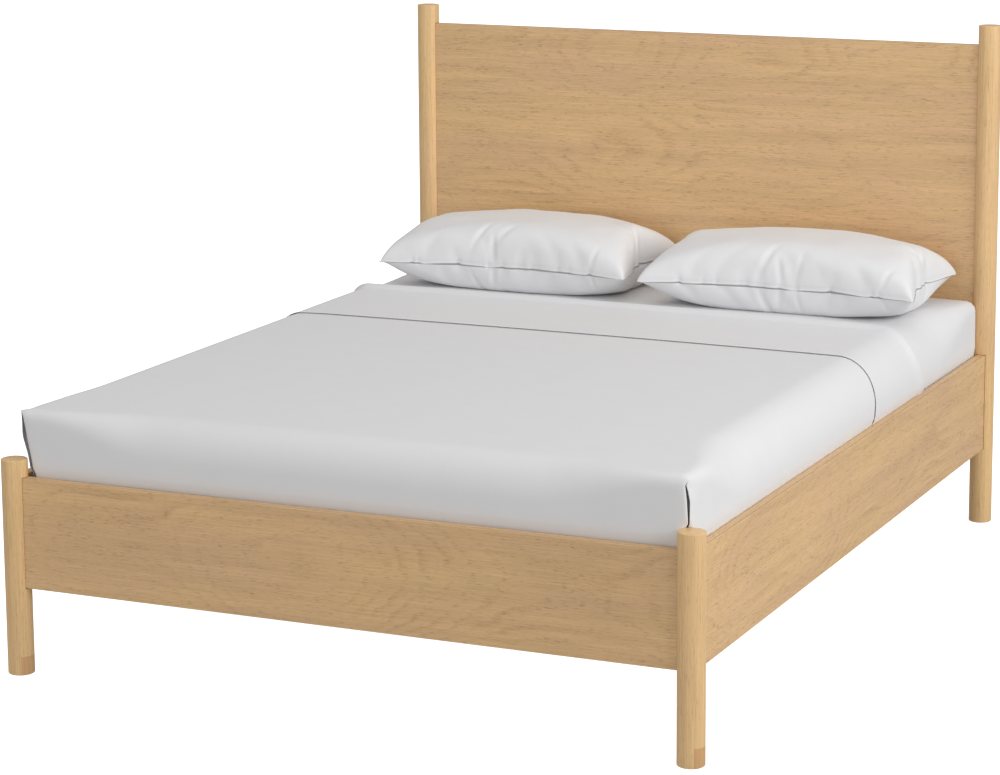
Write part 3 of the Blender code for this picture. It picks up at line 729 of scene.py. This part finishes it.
def makeFlatSheet(cotton):
    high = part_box("flat_sheet")[1]
    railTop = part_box("side_rail_right")[1].z
    mattressLow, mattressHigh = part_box("mattress")
    centreY = (mattressHigh.y + mattressLow.y) / 2
    body = {
        "halfX": flatSheet["halfX"], "halfY": flatSheet["footReach"] + centreY, "top": high.z - 0.0035,
        "centreY": centreY, "bottom": mattressLow.z - 0.0004, "tuck": flatSheet["tuck"],
        "tuckFrom": railTop + 0.018, "tuckTo": railTop - 0.002,
        "footCorner": bedShape["cornerEdge"]["foot"], "footSquareness": bedShape["squareness"]["foot"],
    }
    spacing = flatSheet["spacing"]
    hang = body["top"] - body["bottom"] + flatSheet["hem"]
    flatX = body["halfX"] - body["footCorner"]
    flatY = body["halfY"] - body["footCorner"]
    # Rows and columns line up so that the corners' diagonals pass through their crossings
    count = int(hang / spacing)
    middle = stepsFrom(-flatX, flatX, spacing)
    beyond = np.arange(1, count + 1) * spacing
    p = np.concatenate([-flatX - beyond[::-1], middle, flatX + beyond])
    rows = [np.full_like(p, -flatY - step) for step in beyond[::-1]]
    fold = smoothLine(flatSheet["foldLine"], p) - centreY
    hem = smoothLine(flatSheet["hemLine"], p) - centreY
    steady = flatSheet["steadyTo"]
    rows += [np.full_like(p, q) for q in stepsFrom(-flatY, steady, spacing)]
    rows += [steady + (fold - steady) * share for share in stepsFrom(0, 1, spacing / 0.75)[1:]]
    lifts = [np.zeros_like(p) for _ in rows]
    # Round the fold, then back over the sheet to the hem
    loop = flatSheet["foldRadius"]
    for turn in np.linspace(0, math.pi, 9)[1:]:
        rows.append(fold + loop * math.sin(turn))
        lifts.append(np.full_like(p, loop * (1 - math.cos(turn))))
    restGap, (ridgeWidth, ridgePower) = flatSheet["restGap"], flatSheet["ridge"]
    for share in stepsFrom(0, 1, spacing / 0.37)[1:]:
        back = (fold - hem) * share
        rest = restGap + (flatSheet["hemGap"] - restGap) * smoothStep(share, 0.93, 1.0)
        rows.append(fold - back)
        lifts.append(rest + (2 * loop - rest) * np.exp(-((back / ridgeWidth) ** ridgePower)))
    along, lift = np.array(rows), np.array(lifts)
    across = np.broadcast_to(p, along.shape).copy()
    points = wrapBed(across, along, body, lift)[0]
    length = np.concatenate([[0], np.cumsum(np.abs(np.diff(along[:, len(p) // 2])))])
    uvs = np.stack([across.ravel(), np.repeat(length, len(p))], -1)
    points, faces, uvs = openCorners(points, uvs, count, body)
    keepClear(points)
    sheet = meshObject("flat_sheet_cotton", points, faces, cotton, uvs)
    thicken(sheet, flatSheet["thickness"])
    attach(sheet, "mattress_set")
    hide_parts("flat_sheet")


# mattress

mattressMade = {
    "inset": 0.0035, "corner": 0.06, "cornerSteps": 8, "sideSteps": 26, "piping": 0.0035, "pipingAt": 0.014,
    "underShares": (0.12, 0.4, 0.7, 0.9, 0.97), "topShares": (0.96, 0.85, 0.65, 0.4, 0.12),
    "crownShare": 0.6,
    "ticking": "#dcdad4", "stripe": "#c3c0b8", "stripeEvery": 0.020, "stripeWidth": 0.22, "twill": 260.0,
}


def tickingMaterial():
    # Woven ticking: a dense twill with narrow grey stripes, matt, slightly uneven
    made = mattressMade
    material, add, shader = newMaterial("woven_cotton_ticking")
    place = add("TexCoord", out="Object")
    split = add("SeparateXYZ", {0: place}).node.outputs
    stripes = add("Math", {0: split["X"], 1: made["stripeEvery"]}, operation="DIVIDE")
    phase = add("Math", {0: stripes}, operation="FRACT")
    inStripe = add("Math", {0: phase, 1: made["stripeWidth"]}, operation="LESS_THAN")
    tones = {0: inStripe, 6: toLinear(made["ticking"]), 7: toLinear(made["stripe"])}
    ground = add("Mix", tones, data_type="RGBA", out=2)
    cloudy = add("TexNoise", {"Vector": place, "Scale": 9.0, "Detail": 3.0})
    shade = add("MapRange", {"Value": cloudy, "To Min": 0.92, "To Max": 1.04})
    twill = add(
        "TexWave", {"Vector": place, "Scale": made["twill"], "Distortion": 0.4}, wave_type="BANDS",
        bands_direction="DIAGONAL", out="Fac",
    )
    setInputs(shader, {
        "Base Color": add("VectorMath", {0: ground, "Scale": shade}, operation="SCALE"),
        "Normal": add("Bump", {"Strength": 0.5, "Distance": 0.0002, "Height": twill}),
        "Roughness": 0.9, "Sheen Weight": 0.1, "IOR": 1.5,
    })
    return material


def roundedOutline(halfX, halfY, corner):
    # Goes round a rectangle with rounded corners, and keeps each point's outward direction beside it
    outline, away = [], []
    signs = [(1, 1), (-1, 1), (-1, -1), (1, -1)]
    for turn, (signX, signY) in enumerate(signs):
        for step in range(mattressMade["cornerSteps"] + 1):
            angle = turn * math.pi / 2 + math.pi / 2 * step / mattressMade["cornerSteps"]
            outline.append((signX * (halfX - corner) + corner * math.cos(angle),
                            signY * (halfY - corner) + corner * math.sin(angle)))
            away.append((math.cos(angle), math.sin(angle)))
        (hereX, hereY), (nextX, nextY) = outline[-1], signs[(turn + 1) % 4]
        onX = nextX * (halfX - corner if turn % 2 == 0 else halfX)
        onY = nextY * (halfY if turn % 2 == 0 else halfY - corner)
        for step in range(1, mattressMade["sideSteps"]):
            share = step / mattressMade["sideSteps"]
            outline.append((hereX + (onX - hereX) * share, hereY + (onY - hereY) * share))
            away.append(away[-1])
    return np.array(outline), np.array(away)


def makeMattress():
    low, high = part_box("mattress")
    centre = (low + high) / 2
    inset = mattressMade["inset"]
    halfX, halfY = (high.x - low.x) / 2 - inset, (high.y - low.y) / 2 - inset
    outline, away = roundedOutline(halfX, halfY, mattressMade["corner"])
    towardsX, towardsY = away[:, 0] ** 2, away[:, 1] ** 2
    edge, drop = [
        towardsX * np.where(outline[:, 0] > 0, shape["right"], shape["left"])
        + towardsY * np.where(outline[:, 1] > 0, shape["head"], shape["foot"])
        for shape in (bedShape["edge"], bedShape["drop"])
    ]
    rings = []

    def addRing(line, height):
        rings.append(np.column_stack([line, np.broadcast_to(height, len(outline))]))

    bottom, top = low.z + 0.0005, high.z - inset
    for share in mattressMade["underShares"]:
        addRing(outline * share, bottom)
    piping, pipingAt = mattressMade["piping"], mattressMade["pipingAt"]
    for turn in np.linspace(-0.5, 0.5, 7) * math.pi:
        line = outline + away * piping * (math.cos(turn) - 1)
        addRing(line, bottom + pipingAt / 2 * (1 + math.sin(turn)))
    start = bottom + pipingAt
    for turn in np.linspace(0, 1, 7)[1:]:
        line = outline - away * piping * (1 - 0.6 * math.sin(turn * math.pi))
        addRing(line, start + (top - drop - start) * turn)
    for turn in np.linspace(0, 1, 9)[1:] * math.pi / 2:
        out = -piping - edge * (1 - math.cos(turn))
        addRing(outline + away * out[:, None], top - drop * (1 - math.sin(turn)))
    flat = rings[-1][:, :2].copy()
    for share in mattressMade["topShares"]:
        addRing(flat * share, top + bedShape["crown"] * mattressMade["crownShare"] * (1 - share ** 2))
    points = np.concatenate(rings)
    points[:, :2] += (centre.x, centre.y)
    faces = ringFaces(len(rings), len(outline))
    mattress = meshObject("mattress_ticking", points, faces, tickingMaterial())
    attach(mattress, "mattress_set")
    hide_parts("mattress")


# pillows

pillowCase = {
    "width": 0.762, "depth": 0.508, "simStep": 0.0091, "fineStep": 0.0056, "puff": 0.020, "pressure": 4.0,
    "frames": 14, "tension": 40.0, "bending": 0.3, "mass": 0.2, "quality": 5, "airDamping": 2,
    "smoothing": 3, "fullness": 0.72, "underside": (1.2, 1.65), "backPulledIn": 0.028, "colour": "#eeeeef",
    "seamAbove": 0.0675, "seamDepth": 0.0022, "seamSteps": (0.0, 0.0011, 0.0024, 0.0040, 0.0070),
    "seamGroove": (0.0024, 0.0016), "creasing": 0.65, "slack": 0.0016,
    # Soft creases: where across and along the case (-1 to 1), their direction, length, width and depth
    "creases": {
        "left": [(-0.22, -0.74, 62, 0.085, 0.010, 0.0085), (-0.10, -0.88, 98, 0.060, 0.009, 0.0075),
                 (-0.02, -0.70, 55, 0.070, 0.010, 0.0040), (0.72, -0.88, 80, 0.050, 0.008, 0.0050),
                 (0.70, 0.05, -38, 0.150, 0.010, 0.0066), (0.80, 0.02, -42, 0.130, 0.009, 0.0066),
                 (0.88, -0.10, -50, 0.110, 0.011, 0.0018), (-0.75, 0.35, 30, 0.110, 0.014, 0.0030)],
        "right": [(-0.08, -0.80, 65, 0.080, 0.011, 0.0082), (0.02, -0.90, 105, 0.060, 0.009, 0.0070),
                  (0.16, -0.82, 80, 0.060, 0.009, 0.0045), (0.78, -0.86, 75, 0.050, 0.008, 0.0050),
                  (0.62, 0.30, -35, 0.150, 0.011, 0.0062), (0.74, 0.22, -38, 0.140, 0.010, 0.0062),
                  (0.86, 0.05, -55, 0.100, 0.009, 0.0040), (-0.70, 0.30, 35, 0.120, 0.014, 0.0030)],
    },
}


def layerNumbers(rows, columns):
    # Point numbers of both layers: the border is shared, as the seam is
    upper = np.arange(rows * columns).reshape(rows, columns)
    inner = np.zeros((rows, columns), bool)
    inner[1:-1, 1:-1] = True
    lower = upper.copy()
    lower[inner] = rows * columns + np.arange(inner.sum())
    return upper, lower, inner


def pillowGrid(across, along):
    # Both layers of a flat case with a little air in it
    u, v = np.meshgrid(across, along)
    halfU, halfV = pillowCase["width"] / 2, pillowCase["depth"] / 2
    air = pillowCase["puff"] * (1 - (u / halfU) ** 4) * (1 - (v / halfV) ** 4)
    upper, lower, inner = layerNumbers(*u.shape)
    top = np.stack([u, v, air], -1)
    points = np.concatenate([top.reshape(-1, 3), top[inner] * (1, 1, -1)])
    return points, upper, lower


def layerFaces(upper, lower):
    above = np.stack([upper[:-1, :-1], upper[:-1, 1:], upper[1:, 1:], upper[1:, :-1]], -1).reshape(-1, 4)
    under = np.stack([lower[:-1, :-1], lower[1:, :-1], lower[1:, 1:], lower[:-1, 1:]], -1).reshape(-1, 4)
    return np.concatenate([above, under])


def filledCase(cotton):
    # Pushes the flat case out from inside as cloth, and gives back both layers as grids of points
    width, depth = pillowCase["width"], pillowCase["depth"]
    across = stepsFrom(-width / 2, width / 2, pillowCase["simStep"])
    along = stepsFrom(-depth / 2, depth / 2, pillowCase["simStep"])
    points, upper, lower = pillowGrid(across, along)
    case = meshObject("case_being_filled", points, layerFaces(upper, lower), cotton)
    cloth = case.modifiers.new("cloth", "CLOTH")
    settings = cloth.settings
    settings.quality = pillowCase["quality"]
    settings.mass = pillowCase["mass"]
    settings.tension_stiffness = pillowCase["tension"]
    settings.compression_stiffness = pillowCase["tension"]
    settings.shear_stiffness = pillowCase["tension"] / 3
    settings.bending_stiffness = pillowCase["bending"]
    settings.use_pressure = True
    settings.uniform_pressure_force = pillowCase["pressure"]
    settings.effector_weights.gravity = 0
    settings.air_damping = pillowCase["airDamping"]
    cloth.collision_settings.use_collision = False
    cloth.point_cache.frame_start = 1
    cloth.point_cache.frame_end = pillowCase["frames"]
    for frameNumber in range(1, pillowCase["frames"] + 1):
        scene.frame_set(frameNumber)
    settled(case)
    coordinates = np.empty(len(points) * 3, np.float32)
    case.data.vertices.foreach_get("co", coordinates)
    points = coordinates.reshape(-1, 3).astype(float)
    bpy.data.objects.remove(case)
    scene.frame_set(1)
    return across, along, points[upper], points[lower]


def throughRows(grid, at):
    # Smooth curve through the grid's rows, read at fractional row numbers
    i = np.clip(np.floor(at).astype(int), 0, len(grid) - 2)
    t = (at - i)[:, None, None]
    p1, p2 = grid[i], grid[i + 1]
    p0 = np.where((i > 0)[:, None, None], grid[np.maximum(i - 1, 0)], 2 * p1 - p2)
    last = len(grid) - 1
    p3 = np.where((i < last - 1)[:, None, None], grid[np.minimum(i + 2, last)], 2 * p2 - p1)
    return 0.5 * (2 * p1 + (p2 - p0) * t + (2 * p0 - 5 * p1 + 4 * p2 - p3) * t ** 2
                  + (3 * p1 - p0 - 3 * p2 + p3) * t ** 3)


def fineSteps(half):
    edge = np.array(pillowCase["seamSteps"])
    middle = stepsFrom(-half + edge[-1], half - edge[-1], pillowCase["fineStep"])
    return np.concatenate([-half + edge[:-1], middle, half - edge[:-1][::-1]])


def outwards(layer, sign):
    alongRows = np.gradient(layer, axis=0)
    alongColumns = np.gradient(layer, axis=1)
    normal = np.cross(alongColumns, alongRows) * sign
    return normal / np.maximum(np.linalg.norm(normal, axis=-1, keepdims=True), 1e-9)


def creaseDepth(u, v, side):
    fold = np.zeros_like(u)
    for atU, atV, angle, length, width, deep in pillowCase["creases"][side]:
        turn = math.radians(angle)
        du, dv = u - atU * pillowCase["width"] / 2, v - atV * pillowCase["depth"] / 2
        run = du * math.cos(turn) + dv * math.sin(turn)
        off = -du * math.sin(turn) + dv * math.cos(turn)
        shape = (off / width) ** 2
        window = np.exp(-((run / length * 2) ** 2))
        fold -= deep * pillowCase["creasing"] * (1.0 - 0.7 * shape) * np.exp(-shape) * window
    return fold


def makePillow(side, cotton, across, along, top, under):
    node = f"pillow_{side}"
    low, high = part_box(node)
    halfU, halfV = pillowCase["width"] / 2, pillowCase["depth"] / 2
    fineU, fineV = fineSteps(halfU), fineSteps(halfV)
    u, v = np.meshgrid(fineU, fineV)
    inwards = np.minimum(halfU - np.abs(u), halfV - np.abs(v))
    rowAt = np.interp(fineV, along, np.arange(len(along)))
    columnAt = np.interp(fineU, across, np.arange(len(across)))
    grooveAt, grooveWidth = pillowCase["seamGroove"]
    groove = pillowCase["seamDepth"] * np.exp(-(((inwards - grooveAt) / grooveWidth) ** 2)) * (inwards > 0)
    layers = []
    for grid, sign in ((top, 1), (under, -1)):
        if side == "right":
            grid = grid[:, ::-1] * (-1, 1, 1)
        layer = throughRows(throughRows(grid, rowAt).transpose(1, 0, 2), columnAt).transpose(1, 0, 2)
        layers.append(layer - outwards(layer, sign) * groove[..., None])
    if side == "right":
        pulled = pillowCase["backPulledIn"] * np.where(u > 0, smoothStep(v, 0, halfV), 0)
        for layer in layers:
            layer[..., 0] *= 1 - pulled
    reach = np.abs(layers[0][..., :2]).reshape(-1, 2).max(0)
    seamZ = low.z + pillowCase["seamAbove"]
    factor, power = pillowCase["underside"]
    for sign, layer in zip((1, -1), layers):
        normal = outwards(layer, sign)
        fold = creaseDepth(u, v, side)
        if sign < 0:
            fold = fold * (v < 0)
        layer += normal * (fold * smoothStep(inwards, 0.0, 0.010))[..., None]
        slack = softNoise(u * 14 + 5, v * 14 + (9 if side == "left" else 31), 77) * pillowCase["slack"]
        layer += normal * (slack * smoothStep(inwards, 0.01, 0.05))[..., None]
        layer[..., 0] *= (high.x - low.x) / 2 / reach[0]
        layer[..., 1] *= (high.y - low.y) / 2 / reach[1]
        height = layer[..., 2]
        if sign > 0:
            share = np.clip(height / height.max(), 0, 1)
            height[...] = (high.z - seamZ) * share ** pillowCase["fullness"]
        else:
            # The underside lies flat on the bed and rounds up to the seam
            share = np.clip(factor * np.clip(height / height.min(), 0, 1) ** power, 0, 1)
            height[...] = -(seamZ - low.z) * (1 - (1 - share) ** 2)
        layer += ((low.x + high.x) / 2, (low.y + high.y) / 2, seamZ)
    upper, lower, inner = layerNumbers(*u.shape)
    seam = ~inner
    layers[0][seam] = (layers[0][seam] + layers[1][seam]) / 2
    points = np.concatenate([layers[0].reshape(-1, 3), layers[1][inner]])
    flat = np.stack([u, v], -1)
    uvs = np.concatenate([flat.reshape(-1, 2), flat[inner]])
    pillow = meshObject(f"{node}_in_case", points, layerFaces(upper, lower), cotton, uvs)
    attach(pillow, f"{node}_body")
    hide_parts(node)


def makePillows():
    cotton = cottonMaterial(
        "pressed_cotton_pillowcase", dict(cottonCloth, colour=pillowCase["colour"]),
        (pillowCase["width"], pillowCase["depth"]),
    )
    across, along, top, under = filledCase(cotton)
    for layer in (top, under):
        for _ in range(pillowCase["smoothing"]):
            around = (layer[:-2, 1:-1] + layer[2:, 1:-1] + layer[1:-1, :-2] + layer[1:-1, 2:]) / 4
            layer[1:-1, 1:-1] = (layer[1:-1, 1:-1] + around) / 2
    for side in ("left", "right"):
        makePillow(side, cotton, across, along, top, under)


# fittings

fittings = {
    "zinc": {"light": "#c9ccd0", "dull": "#a9adb2", "spangle": 0.006, "fine": 1400.0},
    "nylon": {"colour": "#1b1b1c", "worn": "#2b2b2c", "grain": 0.0009, "scuffs": 60.0},
    "webbing": {"light": "#cdc9c0", "dark": "#a9a498", "pick": 0.0026},
}


def steelMaterial():
    # Zinc-plated mild steel: bright blue-grey, faintly mottled by the bath, satin
    zinc = fittings["zinc"]
    material, add, shader = newMaterial("zinc_plated_mild_steel")
    place = add("TexCoord", out="Object")
    spots = {"Vector": place, "Scale": 1 / zinc["spangle"]}
    mottle = add("TexVoronoi", spots, feature="SMOOTH_F1", out="Distance")
    tones = {0: mottle, 6: toLinear(zinc["light"]), 7: toLinear(zinc["dull"])}
    fine = add("TexNoise", {"Vector": place, "Scale": zinc["fine"], "Detail": 2.0})
    setInputs(shader, {
        "Base Color": add("Mix", tones, data_type="RGBA", out=2), "Metallic": 1.0,
        "Roughness": add("MapRange", {"Value": mottle, "To Min": 0.28, "To Max": 0.46}),
        "Normal": add("Bump", {"Strength": 0.2, "Distance": 0.0001, "Height": fine}),
    })
    return material


def nylonMaterial():
    # Injection-moulded nylon: black, with a fine spark-eroded grain that keeps it matt
    nylon = fittings["nylon"]
    material, add, shader = newMaterial("moulded_nylon")
    place = add("TexCoord", out="Object")
    grain = add("TexNoise", {"Vector": place, "Scale": 1 / nylon["grain"], "Detail": 2.0})
    scuff = add("TexNoise", {"Vector": place, "Scale": nylon["scuffs"], "Detail": 3.0})
    tones = {0: scuff, 6: toLinear(nylon["colour"]), 7: toLinear(nylon["worn"])}
    setInputs(shader, {
        "Base Color": add("Mix", tones, data_type="RGBA", out=2), "IOR": 1.53,
        "Roughness": add("MapRange", {"Value": scuff, "To Min": 0.45, "To Max": 0.65}),
        "Normal": add("Bump", {"Strength": 0.3, "Distance": 0.0001, "Height": grain}),
    })
    return material


def webbingMaterial():
    # Woven polyester tape that spaces the slats: a coarse plain weave, chalky grey
    tape = fittings["webbing"]
    material, add, shader = newMaterial("woven_polyester_tape")
    place = add("TexCoord", out="Object")
    split = add("SeparateXYZ", {0: place}).node.outputs
    waves = []
    for axis in ("X", "Y"):
        turns = add("Math", {0: split[axis], 1: math.pi / tape["pick"]}, operation="MULTIPLY")
        waves.append(add("Math", {0: turns}, operation="SINE"))
    weave = add("Math", {0: waves[0], 1: waves[1]}, operation="MULTIPLY")
    # Painted shade and light: the weave's hollows are coloured darker and its crests lighter
    share = add("MapRange", {"Value": weave, "From Min": -1.0})
    tones = {0: share, 6: toLinear(tape["dark"]), 7: toLinear(tape["light"])}
    setInputs(shader, {
        "Base Color": add("Mix", tones, data_type="RGBA", out=2), "Roughness": 0.9, "IOR": 1.5,
        "Normal": add("Bump", {"Strength": 0.6, "Distance": 0.0003, "Height": weave}),
    })
    return material


def finishFittings():
    steel, nylon, tape = steelMaterial(), nylonMaterial(), webbingMaterial()
    kinds = {
        "beam_stirrup": steel, "centre_leg_bolt": steel, "corner_brace": steel, "hanger_bolt": steel,
        "hanger_nut": steel, "leg_glide": nylon, "post_glide": nylon, "slat_webbing": tape,
    }
    for name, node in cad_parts.items():
        for kind, material in kinds.items():
            if name.startswith(kind):
                node.data.materials[0] = material


makeCamera()
makeStudio()
print("camera and light set")
finishWood()
makePosts()
print("wood finished")
cotton = cottonMaterial("pressed_cotton_percale", cottonCloth)
makeFittedSheet(cotton)
makeFlatSheet(cotton)
print("sheets laid")
makeMattress()
makePillows()
print("pillows filled")
finishFittings()
print("fittings finished")
